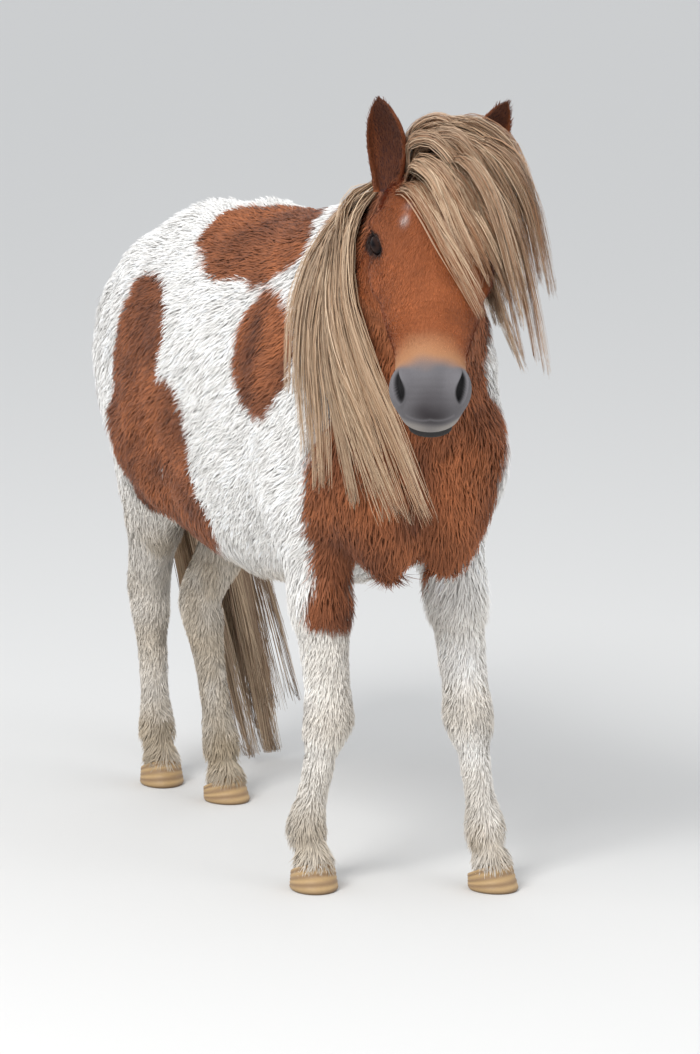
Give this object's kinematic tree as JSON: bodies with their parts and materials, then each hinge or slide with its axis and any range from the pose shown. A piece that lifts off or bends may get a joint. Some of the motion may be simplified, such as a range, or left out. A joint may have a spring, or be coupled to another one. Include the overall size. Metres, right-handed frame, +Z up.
{
  "type": "pony figure",
  "caption": "Life-size Shetland pony in winter coat, standing on four feet with its neck bent to its right, with a long mane, a forelock and a tail blown to its left.",
  "frame": {"origin": "on the floor under the middle of the pony's outline, between its four feet", "axes": "+X to the pony's left, +Y to its rear, +Z up; the pony faces -Y"},
  "size_m": [0.4495, 1.3465, 1.146],
  "materials": {
    "coat": "thick winter coat, white with chestnut-brown patches, dirty cream on the belly",
    "neck_and_mane": "chestnut coat under a long flaxen-beige mane",
    "head_and_forelock": "short red-brown face hair, grey skin on the muzzle, flaxen forelock",
    "ear_hair": "dark red-brown ear hair",
    "eye": "glossy dark brown eye",
    "leg_hair": "white leg hair, brown above the right knee, stained beige low down",
    "horn": "tan horn with growth rings",
    "tail_hair": "tan and flaxen tail hair"
  },
  "bodies": {
    "root": {"torso": "coat", "neck": "neck_and_mane", "head": "head_and_forelock", "ear_left": "ear_hair", "ear_right": "ear_hair", "eye_left": "eye", "eye_right": "eye", "leg_fore_left": "leg_hair", "leg_fore_right": "leg_hair", "leg_hind_left": "leg_hair", "leg_hind_right": "leg_hair", "hoof_fore_left": "horn", "hoof_fore_right": "horn", "hoof_hind_left": "horn", "hoof_hind_right": "horn", "tail": "tail_hair"}
  },
  "joints": []
}
